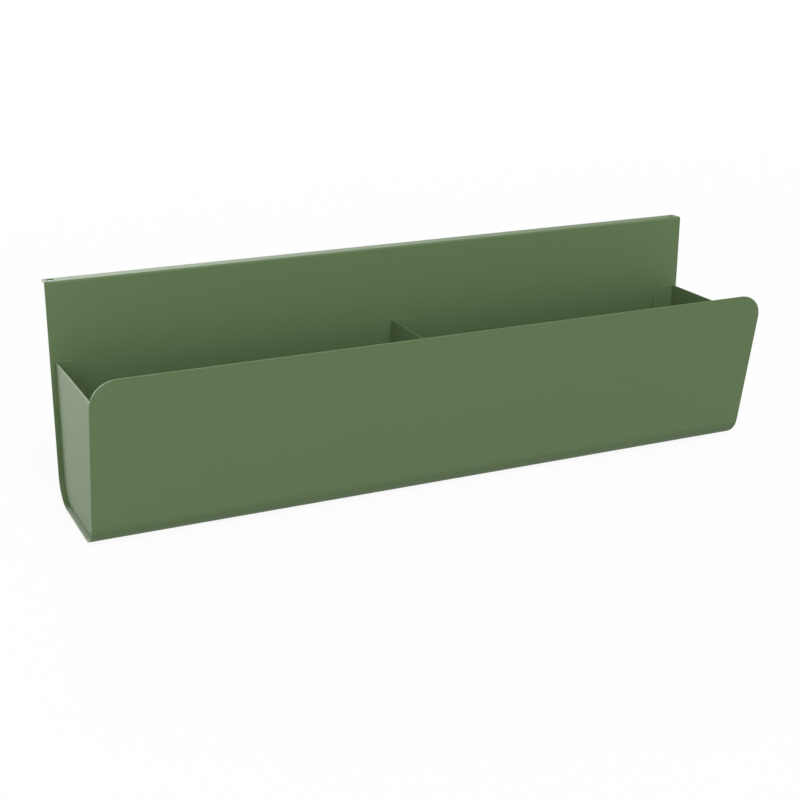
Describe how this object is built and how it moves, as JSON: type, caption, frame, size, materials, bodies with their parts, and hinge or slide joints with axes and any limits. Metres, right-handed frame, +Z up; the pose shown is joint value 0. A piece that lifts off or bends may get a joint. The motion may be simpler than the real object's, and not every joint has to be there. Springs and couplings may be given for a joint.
{
  "type": "two-compartment planter",
  "caption": "Long planter trough of folded painted steel sheet, with a rear fixing flange, a leaning front, inset end caps and a divider between its compartments.",
  "frame": {"origin": "under the middle of the overall size, on the plane of the floor's underside", "axes": "+X along the trough, +Y towards the back and the fixing flange, +Z up"},
  "size_m": [0.68, 0.1602, 0.21],
  "materials": {
    "shell_paint": "satin powder coat",
    "plate_paint": "satin powder coat"
  },
  "bodies": {
    "root": {"shell": "shell_paint", "left_end_cap": "plate_paint", "divider": "plate_paint", "right_end_cap": "plate_paint"}
  },
  "joints": []
}
